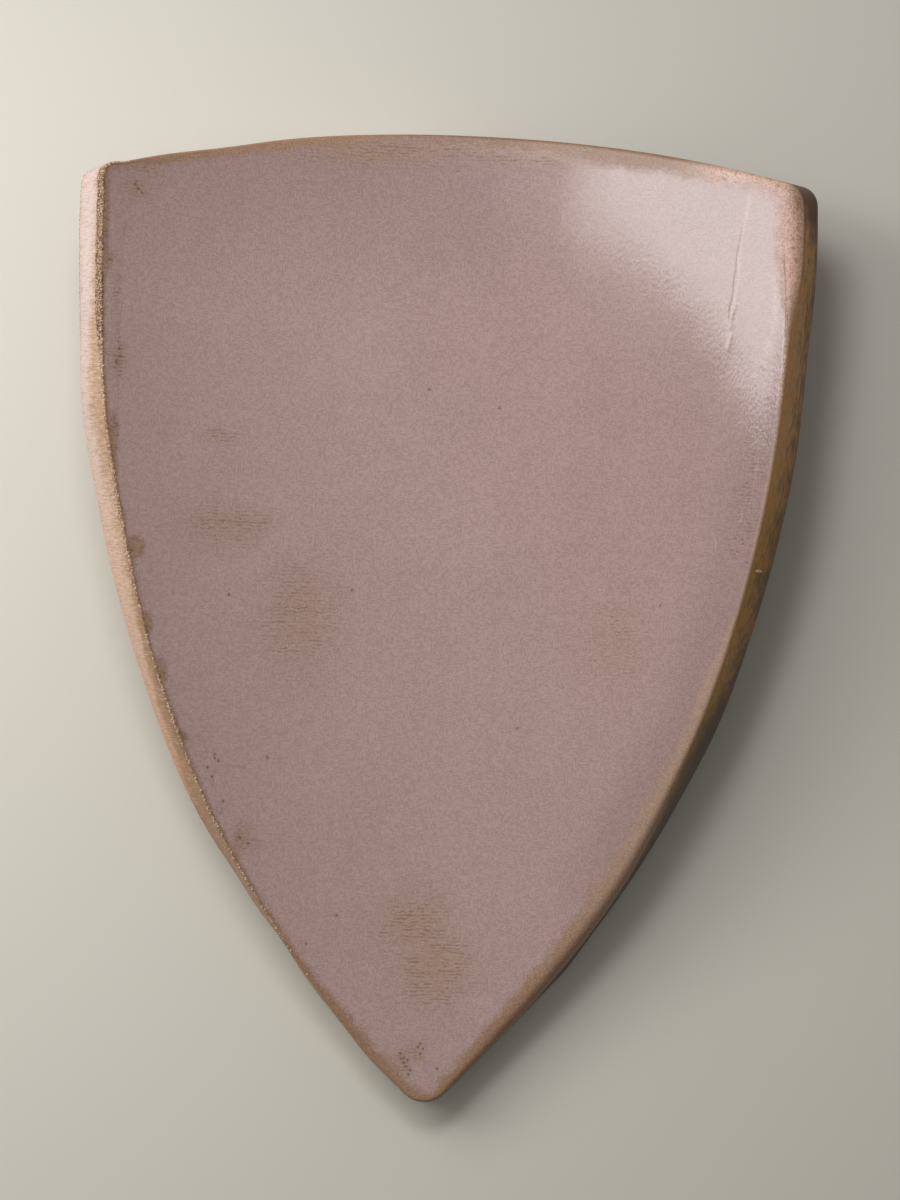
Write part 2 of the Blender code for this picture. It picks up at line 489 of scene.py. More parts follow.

# %% [markdown]
# ## Worn and crumbly stretches of the rim
# At the upper right, hands and storage have worn the coat down to a peach-coloured film that
# reaches right over the rounding; part of that peach is painted sheen. Down the left, the wet latex
# ran over the crease and dried as a crumbly seam: thick at the top, and a thin row of beads further
# down.

# %% How worn, with painted sheen, and how crumbly the rim is
RIGHT_RUBBED_AND_SHEEN = {222: 0.0, 240: 0.55, 262: 1.0}
LEFT_CRUMBLY = {
    -300: 0.0, -200: 0.20, 0: 0.20, 12: 0.36, 112: 0.36,
    130: 0.22, 180: 0.30, 215: 1.0, 332: 1.0, 338: 0.0,
}
RIGHT_CRUMBLY = {-170: 0.0, -90: 0.04, 150: 0.04, 175: 0.16, 275: 0.16, 290: 0.0}

vertex_across = vertex_flat[:, 0] / MM


def from_line(places, start, width):
    """0 up to a line across the blank, and rising to 1 over a width beyond it."""
    return np.clip((places - start) / width, 0, 1)


# The worn upper right, where painted sheen is laid on the rim as well
rubbed_and_sheen = along_side(RIGHT_RUBBED_AND_SHEEN, vertex_heights) * from_line(vertex_across, 180, 50)
left_crumbly = along_side(LEFT_CRUMBLY, vertex_heights) * from_line(-vertex_across, 30, 40)
right_crumbly = along_side(RIGHT_CRUMBLY, vertex_heights) * from_line(vertex_across, 60, 40)
crumbly = left_crumbly + right_crumbly

OFF_THE_ROUNDING = -9.0  # for the outer face: far below the rounding's start at 0
on_rounding = np.ones(len(flat_places))
for ring, (inset, height) in enumerate(section):
    rows = slice(ring * station_count, (ring + 1) * station_count)
    on_rounding[rows] = 1 - (high_side - height) / inner_round
on_rounding[outer_start:] = OFF_THE_ROUNDING
print("rubbed:", int((rubbed_and_sheen > 0.5).sum()), "vertices, crumbly:", int((crumbly > 0.5).sum()))

# %% Heights and colours of the small marks
on_hollow_face = np.zeros(len(flat_places), bool)
on_hollow_face[hollow_start:outer_start] = True
small_places = vertex_flat[on_hollow_face]


def mark_strength(marks, half_width):
    """1 on a mark, fading to 0 past its half width, for the vertices of the hollow face."""
    strength = np.zeros(len(flat_places))
    away = nearest(small_places, marks)[1] / (half_width * MM)
    strength[on_hollow_face] = np.exp(-(away**2))
    return strength


pinhole = mark_strength(pinhole_places, 1.0)
hairline = mark_strength(hairline_places, 0.7)
wrinkle = np.maximum(mark_strength(wrinkle_places, 1.9), 0.9 * mark_strength(fold_places, 3.5))

is_wall = np.zeros(len(flat_places))
is_wall[station_count:last_ring] = 1.0
crease = np.zeros(len(flat_places), bool)
crease[:station_count] = True
crease[last_ring:hollow_start] = True


def keep(name, values, kind="FLOAT", field="value", number=np.float32):
    """Stores one value for each vertex under a name that trees and materials can read."""
    attribute = blank_mesh.attributes.new(name, kind, "POINT")
    attribute.data.foreach_set(field, np.ascontiguousarray(values, number).ravel())


strengths = {
    "is_wall": is_wall,
    "coat_stop": coat_stop,
    "smudged": smudged,
    "olive": olive,
    "rubbed_and_sheen": rubbed_and_sheen,
    "crumbly": crumbly,
    "on_rounding": on_rounding,
    "pinhole": pinhole,
    "hairline": hairline,
    "wrinkle": wrinkle,
}
keep("flat_place", flat_places, "FLOAT_VECTOR", "vector")
keep("crease_line", crease, "BOOLEAN", number=bool)
for name, strength in strengths.items():
    keep(name, strength)
print("kept on each vertex:", [a.name for a in blank_mesh.attributes if not a.is_internal])

# %% [markdown]
# ## Small helpers for node trees
# A node tree that is written by hand needs the same three steps again and again: add a node, set
# what is fixed, and link what is fed. These helpers do that for shader and geometry trees alike.
# They all write into the one tree that is called tree at that moment.


# %% Helpers for node trees
def add(kind, feeds=None, **settings):
    """Adds a node with its settings, and links or sets each of its inputs."""
    node = tree.nodes.new(kind)
    for name, value in settings.items():
        setattr(node, name, value)
    for key, value in (feeds or {}).items():
        if isinstance(value, bpy.types.NodeSocket):
            tree.links.new(value, node.inputs[key])
        else:
            node.inputs[key].default_value = value
    return node


def arithmetic(operation):
    """Makes a helper that adds one such step of arithmetic to the tree."""

    def step(*values):
        return add("ShaderNodeMath", dict(enumerate(values)), operation=operation).outputs[0]

    return step


plus, minus = arithmetic("ADD"), arithmetic("SUBTRACT")
product, divided = arithmetic("MULTIPLY"), arithmetic("DIVIDE")
larger, smaller = arithmetic("MAXIMUM"), arithmetic("MINIMUM")
unsigned, sine, cosine = arithmetic("ABSOLUTE"), arithmetic("SINE"), arithmetic("COSINE")
scaled = arithmetic("MULTIPLY_ADD")  # a value, its factor, and what is then added


def times(*values):
    """The product of all the values."""
    return reduce(product, values)


def ramp(value, low, high, to_low=0, to_high=1):
    """A smooth change from to_low to to_high while value goes from low to high."""
    feeds = {"Value": value, 1: low, 2: high, 3: to_low, 4: to_high}
    return add("ShaderNodeMapRange", feeds, interpolation_type="SMOOTHSTEP").outputs[0]


# %% [markdown]
# ## The skin's relief and the bend, as Geometry Nodes
# The whole form follows one rule, so one tree makes it. It first measures how far each vertex is
# from the crease at the rim, while everything is still flat. It then raises and sinks the skin,
# bends the blank about its length, and settles it on the floor: soft foam gets a narrow flat where
# it lies.
#
# The sizes are named inputs. To see a flatter or deeper shield, change them in the cell that runs
# the tree.

# %% Start the tree and name its inputs
FORM_INPUTS = {
    "Bend radius": "Float",
    "Thickness": "Float",
    "Rest flat depth": "Float",
    "Wave height": "Float",
    "Wrinkle height": "Float",
    "Pinhole depth": "Float",
    "Seed": "Float",
    "Skin": "Material",
}


def start_tree(name, inputs):
    """A geometry tree with these inputs after the geometry, and the sockets that give them."""
    started = bpy.data.node_groups.new(name, "GeometryNodeTree")
    for label, kind in {"Geometry": "Geometry", **inputs}.items():
        started.interface.new_socket(label, in_out="INPUT", socket_type="NodeSocket" + kind)
    started.interface.new_socket("Geometry", in_out="OUTPUT", socket_type="NodeSocketGeometry")
    return started, started.nodes.new("NodeGroupInput").outputs


def stored(name, kind="FLOAT"):
    """What each vertex keeps under a name."""
    node = add("GeometryNodeInputNamedAttribute", {"Name": name}, data_type=kind)
    return node.outputs["Attribute"]


def with_stored(geometry, name, value, domain):
    """The geometry, with one more value kept under a name."""
    feeds = {"Geometry": geometry, "Name": name, "Value": value}
    settings = {"data_type": "FLOAT", "domain": domain}
    return add("GeometryNodeStoreNamedAttribute", feeds, **settings).outputs[0]


form_tree, form_in = start_tree("relief_and_bend", FORM_INPUTS)
tree = form_tree


# %% Measure the distance from the rim while the blank is flat
def measured_from_rim(geometry):
    """Stores how far a vertex is from the crease: positive on a face, negative on the wall."""
    feeds = {"Geometry": geometry, "Selection": stored("crease_line", "BOOLEAN")}
    lines = add("GeometryNodeSeparateGeometry", feeds, domain="POINT").outputs[0]
    near = add("GeometryNodeProximity", {0: lines}, target_element="EDGES")
    side = scaled(stored("is_wall"), -2, 1)
    return with_stored(geometry, "from_rim", times(near.outputs["Distance"], side), "POINT")


# %% Raise and sink the skin
def with_relief(given, geometry):
    """Long waves from the foam, wrinkles up, and pinholes and hairlines down."""
    place = add("GeometryNodeInputPosition").outputs[0]
    feeds = {"Vector": place, "W": given["Seed"], "Scale": 16, "Detail": 3, "Roughness": 0.45}
    waves = add("ShaderNodeTexNoise", feeds, noise_dimensions="4D").outputs[0]
    height = times(scaled(waves, 2, -1), given["Wave height"])
    broken = add("ShaderNodeTexNoise", {"Vector": place, "Scale": 90, "Detail": 1}).outputs[0]
    raised = times(stored("wrinkle"), given["Wrinkle height"], ramp(broken, 0.35, 0.62, 0.45))
    sunk = larger(stored("pinhole"), times(stored("hairline"), 0.10))
    height = minus(plus(height, raised), times(sunk, given["Pinhole depth"]))
    feeds = {0: add("GeometryNodeInputNormal").outputs["Normal"], "Scale": height}
    offset = add("ShaderNodeVectorMath", feeds, operation="SCALE").outputs[0]
    return add("GeometryNodeSetPosition", {"Geometry": geometry, "Offset": offset}).outputs[0]


# %% Bend about the length, and settle on the floor
def bent_and_settled(given, geometry):
    """A vertex at width x goes round by x over the radius of the slab's middle layer."""
    place = add("GeometryNodeInputPosition").outputs[0]
    across, along, height = add("ShaderNodeSeparateXYZ", {0: place}).outputs
    middle = minus(given["Bend radius"], times(given["Thickness"], 0.5))
    angle = divided(across, middle)
    radius = minus(given["Bend radius"], height)
    z = minus(given["Bend radius"], times(radius, cosine(angle)))
    z = minus(larger(z, given["Rest flat depth"]), given["Rest flat depth"])
    feeds = {0: times(radius, sine(angle)), 1: along, 2: z}
    target = add("ShaderNodeCombineXYZ", feeds).outputs[0]
    return add("GeometryNodeSetPosition", {"Geometry": geometry, "Position": target}).outputs[0]


# %% Finish the tree
def end_tree(geometry, material):
    """Every tree ends here: real mesh instead of instances, smooth, with its material."""
    real = add("GeometryNodeRealizeInstances", {0: geometry}).outputs[0]
    smooth = add("GeometryNodeSetShadeSmooth", {0: real}).outputs[0]
    feeds = {"Geometry": smooth, "Material": material}
    add("NodeGroupOutput", {0: add("GeometryNodeSetMaterial", feeds).outputs[0]})


flat_form = measured_from_rim(form_in["Geometry"])
raised_form = with_relief(form_in, flat_form)
end_tree(bent_and_settled(form_in, raised_form), form_in["Skin"])
print("tree:", form_tree.name, "with", len(form_tree.nodes), "nodes")

# %% [markdown]
# ## The finish: bare latex under a thin coat
# Cured latex is ochre to tan, slightly see-through and satin. Over it lies a thin brushed coat of
# mauve-brown. The coat stops a few millimetres before the rim, where the brush lifted and hands
# rub, so a band of bare latex runs all round, and the walls are bare.
#
# Both layers take their pattern from the place on the flat blank. Short threads across and along,
# with a fuzz between them, give the linen-like grain that the foam's backing prints through, and
# slower noise gives clouds in the coat. The bump stays very low: a brushed skin is almost level,
# and a gloss with a clear edge shows it.
#
# Each colour is painted as a maker would: a ground first, then layers over it, each with a share
# that says where it lies and how strong it is. The shares are ramps over across, up and through,
# the three places on the flat blank in metres, often broken up by a noise.

# %% Colours of the finish, as linear red, green and blue
COAT_LIGHT = (0.420, 0.290, 0.258, 1)
COAT_DARK = (0.305, 0.202, 0.178, 1)
# Painted shade on the coat: toward the top edge and along the right crease
COAT_PAINTED_SHADE = (0.262, 0.174, 0.156, 1)
# Painted highlight on the crests of wrinkles and folds
COAT_CREST_HIGHLIGHT = (0.520, 0.375, 0.340, 1)
COAT_THIN = (0.300, 0.190, 0.128, 1)
# Partly painted sheen: the peach of the worn upper right rim
COAT_RUBBED_SHEEN = (0.525, 0.330, 0.262, 1)
RIM_ORANGE = (0.310, 0.175, 0.098, 1)
RIM_UMBER = (0.235, 0.132, 0.080, 1)
TOP_PEACH = (0.630, 0.430, 0.355, 1)
PEACH_DEEP = (0.600, 0.368, 0.250, 1)
LATEX_TAN = (0.260, 0.150, 0.085, 1)
LATEX_OLIVE = (0.275, 0.165, 0.088, 1)
LATEX_SHADE = (0.250, 0.148, 0.088, 1)
# Painted highlight and sheen for the lit left wall, over its bare latex
WALL_PAINTED_HIGHLIGHT = (0.560, 0.440, 0.400, 1)
WALL_SHEEN_PINK = (0.520, 0.385, 0.320, 1)
WALL_SHEEN_PEACH = (0.540, 0.358, 0.248, 1)
WALL_ORANGE = (0.520, 0.255, 0.120, 1)
WALL_TAN = (0.405, 0.258, 0.155, 1)
WALL_GOLD = (0.290, 0.140, 0.052, 1)
WALL_BROWN = (0.420, 0.205, 0.022, 1)
WALL_UMBER = (0.420, 0.228, 0.078, 1)
# Mostly painted shade on the walls; on the right wall it also gives the darker mottle
WALL_SHADE = (0.105, 0.045, 0.009, 1)
WALL_RUST = (0.480, 0.165, 0.020, 1)
# Painted shade: the right wall's outer side, lower part and top corner, and the groove
WALL_PAINTED_SHADE = (0.060, 0.016, 0.003, 1)
# Painted shade where the right rounding turns away
ROLL_PAINTED_SHADE = (0.240, 0.130, 0.060, 1)
SPECKLE_PALE = (0.660, 0.440, 0.340, 1)
# Rust-brown specks, and painted shade in the rim's top right corner
RUST_SPECK_AND_SHADE = (0.140, 0.058, 0.028, 1)
CRUMB_BROWN = (0.090, 0.040, 0.022, 1)
CRUMB_PALE = (0.460, 0.300, 0.195, 1)
SPECK_BROWN = (0.130, 0.072, 0.048, 1)
SMUDGE_TAN = (0.320, 0.205, 0.135, 1)
PIT_BROWN = (0.100, 0.036, 0.022, 1)
THREAD_DARK = (0.890, 0.868, 0.859, 1)
THREAD_LIGHT = (1.101, 1.109, 1.111, 1)


# %% Start the finish, and helpers for its patterns
def new_finish(name):
    """A new material, its node tree and its main shader."""
    finish = bpy.data.materials.new(name)
    finish.use_nodes = True
    return finish, finish.node_tree, finish.node_tree.nodes["Principled BSDF"]


def kept(name):
    """An attribute of the piece, for the material."""
    return add("ShaderNodeAttribute", attribute_name=name).outputs["Fac"]


def noise(vector, scale, detail=2, roughness=0.5):
    """Noise at one scale, or squeezed along each axis by a scale of its own."""
    if isinstance(scale, tuple):
        feeds = {"Vector": vector, "Scale": scale}
        vector = add("ShaderNodeMapping", feeds, vector_type="POINT").outputs[0]
        scale = 1
    feeds = {"Vector": vector, "Scale": scale, "Detail": detail, "Roughness": roughness}
    return add("ShaderNodeTexNoise", feeds).outputs[0]


def blend(share, first, second):
    """One colour where the share is 0, the other where it is 1."""
    node = add("ShaderNodeMix", {0: share, 6: first, 7: second}, data_type="RGBA")
    return node.outputs[2]


def painted(color, *layers):
    """A ground with layers over it in turn, each a share and a colour."""
    for share, over in layers:
        color = blend(share, color, over)
    return color


skin, tree, shader = new_finish("latex_skin")

# %% The grain: threads across and along, pebbles, and slow clouds
flat_place = add("ShaderNodeAttribute", attribute_name="flat_place").outputs["Vector"]
across, up, through = add("ShaderNodeSeparateXYZ", {0: flat_place}).outputs
from_rim = kept("from_rim")
threads_across = noise(flat_place, (330, 1050, 1050), 0)
threads_along = noise(flat_place, (1050, 330, 1050), 0)
fuzz = noise(flat_place, 1250, 0)
pebbles = noise(flat_place, (620, 290, 620), 0)
combed = noise(flat_place, (900, 900, 110))
drawn = noise(flat_place, (420, 70, 420), 3)
clouds = noise(flat_place, 13, 4, 0.6)
streaks = noise(flat_place, (36, 330, 330), 3, 0.6)
mottle = noise(flat_place, 210, 3, 0.6)
blotches = noise(flat_place, 75, 3, 0.6)
crumbs = noise(flat_place, 620, 2, 0.6)
lumps = noise(flat_place, (300, 430, 430), 2, 0.6)
dashes = noise(flat_place, (210, 520, 520))
which_way = ramp(noise(flat_place, 130, 1), 0.46, 0.60)
threads = add("ShaderNodeMix", {0: which_way, 2: threads_across, 3: threads_along}).outputs[0]
grain = blend(ramp(plus(fuzz, threads), 0.74, 1.26), THREAD_DARK, THREAD_LIGHT)
uneven = minus(blotches, 0.5)
crumbly_noise = minus(crumbs, 0.5)

# %% [markdown]
# The coat is darker toward the top edge and along the right crease: painted shade. In the
# smudges it is thin, and dirt lies in the rows of the weave.

# %% The coat
WEAVE_PITCH = 0.0028
tone = scaled(minus(clouds, 0.5), 0.5, 0.5)
# Painted light and shade: the tone is raised toward the left and lowered toward the right
tone = minus(tone, ramp(across, -0.26, 0.26, -0.20, 0.20))
# Painted shade toward the top edge and along the right crease
top_edge_shade = times(ramp(up, 0.22, 0.36, 0, 0.55), ramp(across, 0.10, 0.02))
right_crease_shade = times(
    ramp(from_rim, 0.055, 0.012, 0, 0.65),
    ramp(across, 0.05, 0.12),
    ramp(up, 0.20, 0.15),
    ramp(up, -0.26, -0.14),
)
smudged_here = kept("smudged")
thin = times(smudged_here, ramp(streaks, 0.30, 0.62, 0.45), ramp(across, 0.24, 0.18, 0.25))
weave_turn = scaled(blotches, 15, times(up, 2 * math.pi / WEAVE_PITCH))
weave_rows = ramp(sine(weave_turn), 0, 0.9)
dirt = times(smudged_here, weave_rows, ramp(dashes, 0.45, 0.56), ramp(blotches, 0.40, 0.55, 0.2))
coat = painted(
    COAT_DARK,
    (tone, COAT_LIGHT),
    (larger(top_edge_shade, right_crease_shade), COAT_PAINTED_SHADE),
    (smaller(thin, 0.65), SMUDGE_TAN),
    (smaller(dirt, 0.45), SPECK_BROWN),
)

# %% [markdown]
# The walls are bare latex. The left one is pale at the top and turns to orange and gold toward the
# tip; its pink, peach and white are painted sheen and highlight from the softbox. The right one is
# brown, with painted shade that makes it darker low down, toward the outer side and in the top
# corner.

# %% The left wall, pale with painted sheen and highlight
wall_share = scaled(uneven, 0.45, divided(through, THICKNESS))
# A painted highlight: a white band along the middle of the wall, high up
highlight_band = unsigned(minus(wall_share, 0.42))
highlight_band = times(ramp(up, 0.12, 0.27), ramp(highlight_band, 0.08, 0.30, 1, 0))
tan_from = plus(ramp(up, 0.19, 0.29, 0.48, 0.80), ramp(up, 0.16, 0.04, 0, 0.24))
tan_share = ramp(minus(wall_share, tan_from), -0.20, 0.24)
tan_share = times(tan_share, ramp(up, -0.12, 0.14, 0.60))
gold_from = minus(ramp(up, 0.06, -0.11, 0.80, 0.40), ramp(up, -0.11, -0.155, 0, 0.4))
gold_share = ramp(minus(wall_share, gold_from), 0, 0.24)
gold_share = times(gold_share, ramp(up, 0.10, -0.02, 0.35, 0.85))
# Painted shade on the left wall next to the crease, low down
left_crease_shade = times(
    ramp(wall_share, 0.74, 0.95, 0, 0.5), ramp(up, -0.02, -0.06), ramp(up, -0.12, -0.09)
)
left_wall = painted(
    WALL_SHEEN_PEACH,
    # Painted sheen: pink high up over a peach ground
    (ramp(up, 0.02, 0.16), WALL_SHEEN_PINK),
    # Painted highlight: the white band
    (highlight_band, WALL_PAINTED_HIGHLIGHT),
    (tan_share, WALL_TAN),
    (ramp(up, -0.01, -0.14, 0, 0.85), WALL_ORANGE),
    (gold_share, WALL_GOLD),
    (left_crease_shade, WALL_SHADE),
    # Painted highlight: white streaks
    (ramp(combed, 0.52, 0.66, 0, 0.45), WALL_PAINTED_HIGHLIGHT),
    (times(scaled(tan_share, 0.35, 0.28), ramp(combed, 0.48, 0.36)), LATEX_TAN),
    (ramp(mottle, 0.56, 0.74, 0, 0.35), LATEX_TAN),
)

# %% The right wall, brown with painted shade
# Painted shade: the wall turns to the shade colours toward its outer side, low down and in its top
# corner
brown_share = plus(wall_share, ramp(drawn, 0.40, 0.60, -0.16, 0.16))
brown_share = minus(brown_share, ramp(up, 0.15, 0.03, 0, 0.25))
shade_from = plus(wall_share, ramp(up, 0.06, -0.10, 1.3, 0))
rusty = times(wall_share, ramp(blotches, 0.46, 0.66), ramp(up, -0.10, 0.05))
corner_shade = ramp(scaled(wall_share, -0.040, up), 0.270, 0.300)
corner_shade = times(corner_shade, ramp(wall_share, 0.9, 0.5, 0.45, 0.85))
right_wall = painted(
    WALL_SHADE,
    (ramp(brown_share, -0.15, 0.85), blend(ramp(up, 0.06, 0.15), WALL_BROWN, WALL_UMBER)),
    (ramp(shade_from, 1.15, 0.40, 0, 0.9), WALL_PAINTED_SHADE),
    (ramp(up, -0.02, -0.12, 0, 0.4), WALL_PAINTED_SHADE),
    (ramp(mottle, 0.48, 0.66, 0, 0.20), WALL_SHADE),
    (smaller(rusty, 0.45), WALL_RUST),
    (corner_shade, WALL_PAINTED_SHADE),
)
# The left wall carries painted sheen, the right wall painted shade
to_right = ramp(across, -0.05, 0.05)
wall = blend(to_right, left_wall, right_wall)

# %% The rim, where the coat thins out: tan, orange at the top, and peach, partly painted sheen, where it is worn
rubbed_and_sheen_here = kept("rubbed_and_sheen")
roll = kept("on_rounding")
orange = times(ramp(up, 0.335, 0.350), ramp(across, 0.12, 0.05, 0, 0.9))
at_crown = times(ramp(across, -0.08, -0.02), ramp(across, 0.08, 0.04))
# Painted shade in the top right corner of the rim
corner_rim_shade = times(ramp(up, 0.300, 0.325, 0, 0.45), ramp(across, 0.276, 0.290))
# Peach of the worn rim, partly painted sheen
peach = painted(
    COAT_RUBBED_SHEEN,
    (ramp(up, 0.325, 0.342), TOP_PEACH),
    (ramp(roll, 0.98, 0.55), PEACH_DEEP),
    (ramp(mottle, 0.50, 0.66, 0, 0.5), LATEX_TAN),
)
rim = painted(
    COAT_THIN,
    (ramp(across, -0.04, -0.12, 0, 0.7), LATEX_SHADE),
    (ramp(up, -0.14, -0.30), LATEX_TAN),
    (orange, blend(at_crown, RIM_ORANGE, RIM_UMBER)),
    (rubbed_and_sheen_here, peach),
    (corner_rim_shade, RUST_SPECK_AND_SHADE),
    (times(scaled(rubbed_and_sheen_here, 0.34, 0.12), ramp(crumbs, 0.54, 0.66)), SPECKLE_PALE),
    (times(scaled(rubbed_and_sheen_here, 0.22, 0.18), ramp(crumbs, 0.50, 0.38)), RUST_SPECK_AND_SHADE),
)

# %% The rounding, where the rim rolls over into the wall, with painted shade on the right
# Painted shade: on the right the rounding darkens as it turns toward the wall
roll_shade = ramp(scaled(uneven, 0.20, roll), 0.60, 1)
roll_shade = times(scaled(roll_shade, -0.9, 0.9), ramp(up, -0.08, -0.20, 1, 0.25))
roll_shade = times(roll_shade, minus(1, rubbed_and_sheen_here), ramp(across, 0, 0.08))
roll_end = scaled(rubbed_and_sheen_here, -0.36, 0.32)
roll_end = minus(roll_end, ramp(up, -0.06, -0.22, 0, 0.45))
roll_share = scaled(minus(mottle, 0.5), 0.30, minus(roll, roll_end))
# Painted shade: a dark line in the groove where the rounding ends
groove_shade = ramp(unsigned(plus(roll, 0.22)), 0.04, 0.22, 1, 0)
groove_shade = times(ramp(rubbed_and_sheen_here, 0.6, 1), groove_shade, ramp(mottle, 0.35, 0.55, 0.08, 0.30))
bare = painted(
    wall,
    (ramp(roll_share, -0.12, 0.12), blend(roll_shade, rim, ROLL_PAINTED_SHADE)),
    (groove_shade, WALL_PAINTED_SHADE),
)

# %% [markdown]
# The seam of dried latex down the left, the coat's ragged stop and the olive patches lie on the
# hollow side. The outer side is plainer, and there the coat starts further in.

# %% The crumbly seam down the left
crumbly_here = kept("crumbly")
hollow_half = ramp(through, 0.014, 0.020)
seam_middle = unsigned(plus(from_rim, scaled(crumbly_here, 0.0034, 0.0002)))
seam_share = divided(seam_middle, scaled(crumbly_here, 0.0042, 0.0006))
seam_share = ramp(scaled(uneven, 1.6, seam_share), 0.55, 1.1, 1, 0)
crumbled = times(seam_share, ramp(crumbly_here, 0.02, 0.2), hollow_half)
crumb_tone = painted(
    LATEX_SHADE,
    (ramp(crumbly_here, 0.38, 0.85), CRUMB_BROWN),
    (ramp(lumps, 0.50, 0.60), CRUMB_PALE),
    (ramp(blotches, 0.46, 0.64, 0, 0.35), LATEX_TAN),
)
bare = blend(crumbled, bare, crumb_tone)

# %% Where the coat stops
stop_here = kept("coat_stop")
raggedness = smaller(scaled(stop_here, 160, 0.25), 1)
ragged = scaled(crumbly_noise, 0.010, times(uneven, 0.014))
reach = minus(minus(from_rim, stop_here), ramp(through, 0.010, 0.002, 0, 0.007))
reach = scaled(ragged, raggedness, reach)
softness = scaled(rubbed_and_sheen_here, 0.0016, scaled(stop_here, 0.65, 0.0009))
covered = ramp(divided(reach, softness), -1, 1)

# %% All layers: the coat, olive patches, the dark line beside the beads, and the small marks
olive_share = scaled(uneven, 0.9, scaled(crumbly_noise, 0.9, kept("olive")))
olive_share = times(ramp(olive_share, 0.38, 1.10), ramp(from_rim, -0.0012, -0.0004))
olive_tone = blend(ramp(dashes, 0.50, 0.38, 0, 0.75), LATEX_OLIVE, CRUMB_BROWN)
beside = ramp(unsigned(minus(from_rim, 0.0003)), 0.0003, 0.0014, 1, 0)
holes = times(kept("pinhole"), 0.9)
lines = times(kept("hairline"), ramp(blotches, 0.45, 0.60, 0, 0.30))
color = painted(
    bare,
    (covered, coat),
    (times(olive_share, hollow_half, 0.85), olive_tone),
    (times(beside, ramp(across, 0, -0.06), ramp(blotches, 0.40, 0.58, 0, 0.15)), SPECK_BROWN),
    # Painted highlight on the crests of the wrinkles and folds
    (times(kept("wrinkle"), 0.30), COAT_CREST_HIGHLIGHT),
    (larger(holes, lines), PIT_BROWN),
)
grained = add("ShaderNodeVectorMath", {0: color, 1: grain}, operation="MULTIPLY")
tree.links.new(grained.outputs[0], shader.inputs["Base Color"])

# %% Gloss and bump: the coat is satin, a little duller toward the top, and bare latex is dull
BUMP_STRENGTH = 0.32
BUMP_HEIGHT = 0.1 * MM
uncovered = minus(1, covered)
dull = times(larger(larger(kept("pinhole"), kept("hairline")), uncovered), 0.32)
roughness = plus(ramp(clouds, 0.3, 0.7, 0.108, 0.124), dull)
duller = times(ramp(up, 0.27, 0.32, 0, 0.055), ramp(across, 0.18, 0.10))
tree.links.new(plus(roughness, duller), shader.inputs["Roughness"])
shader.inputs["IOR"].default_value = 1.52
rough_wall = times(minus(1, to_right), ramp(from_rim, -0.002, -0.004))
rough_places = times(larger(crumbled, larger(rough_wall, rubbed_and_sheen_here)), uncovered)
relief = scaled(times(crumbs, rough_places), 9, pebbles)
bump_feeds = {"Height": relief, "Strength": BUMP_STRENGTH, "Distance": BUMP_HEIGHT}
tree.links.new(add("ShaderNodeBump", bump_feeds).outputs[0], shader.inputs["Normal"])
print("finish:", skin.name, "with", len(tree.nodes), "nodes")


# %% Run the tree and keep the result as a plain mesh
def made_plain(piece, form, values):
    """Runs a tree on a piece with these inputs, and keeps what it makes as the piece's mesh."""
    modifier = piece.modifiers.new(form.name, "NODES")
    modifier.node_group = form
    for socket in form.interface.items_tree:
        if socket.in_out == "INPUT" and socket.name in values:
            modifier[socket.identifier] = values[socket.name]
    graph = bpy.context.evaluated_depsgraph_get()
    finished = bpy.data.meshes.new_from_object(piece.evaluated_get(graph))
    piece.modifiers.remove(modifier)
    finished.name = piece.name
    piece.data = finished


half_flat = REST_FLAT_WIDTH / 2
rest_flat_depth = OUTER_BEND_RADIUS - math.sqrt(OUTER_BEND_RADIUS**2 - half_flat**2)
form_values = {
    "Bend radius": OUTER_BEND_RADIUS,
    "Thickness": THICKNESS,
    "Rest flat depth": rest_flat_depth,
    "Wave height": 0.10 * MM,
    "Wrinkle height": 0.11 * MM,
    "Pinhole depth": 0.12 * MM,
    "Seed": 7.0,
    "Skin": skin,
}
made_plain(shield, form_tree, form_values)
triangles = sum(len(face.vertices) - 2 for face in shield.data.polygons)
print("shield:", triangles, "triangles")
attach(shield, "root")
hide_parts("kite_shield")

# %% [markdown]
# ## Beads of dried latex along the left crease
# Where the latex ran over the crease it dried in little beads, paler than the skin round them.
# They stand on the skin. There are many hundreds, no two alike, so a tree scatters them: it
# chooses places on the skin, more of them where the seam is crumbly, and sets a small squashed
# ball with its own size and tone at each. A few dozen faces are enough for a ball of one
# millimetre.

# %% The bead tree's inputs
BEAD_INPUTS = {
    "Beads on one metre square": "Float",
    "Band width": "Float",
    "Bead radius": "Float",
    "Seed": "Int",
    "Finish": "Material",
}
bead_tree, bead_in = start_tree("beads_along_crease", BEAD_INPUTS)
tree = bead_tree


def chance(kind, low, high, seed):
    """A random value for each bead."""
    value = add("FunctionNodeRandomValue", data_type=kind)
    sockets = [s for s in value.inputs if s.enabled]
    sockets[0].default_value = low
    sockets[1].default_value = high
    tree.links.new(seed, value.inputs["Seed"])
    return next(s for s in value.outputs if s.enabled)


# %% Scatter the beads
def scattered(given):
    """Points near the crease, more of them where it is crumbly."""
    crumbly = stored("crumbly")
    width = times(given["Band width"], plus(crumbly, 0.12))
    away = unsigned(plus(stored("from_rim"), width))
    nearness = ramp(divided(away, width), 0.6, 1, 1, 0)
    present = times(ramp(crumbly, 0.02, 0.15), ramp(crumbly, 0.2, 0.9, 0.42))
    density = times(times(nearness, given["Beads on one metre square"]), present)
    feeds = {"Mesh": given["Geometry"], "Density": density, "Seed": given["Seed"]}
    return add("GeometryNodeDistributePointsOnFaces", feeds, distribute_method="RANDOM")


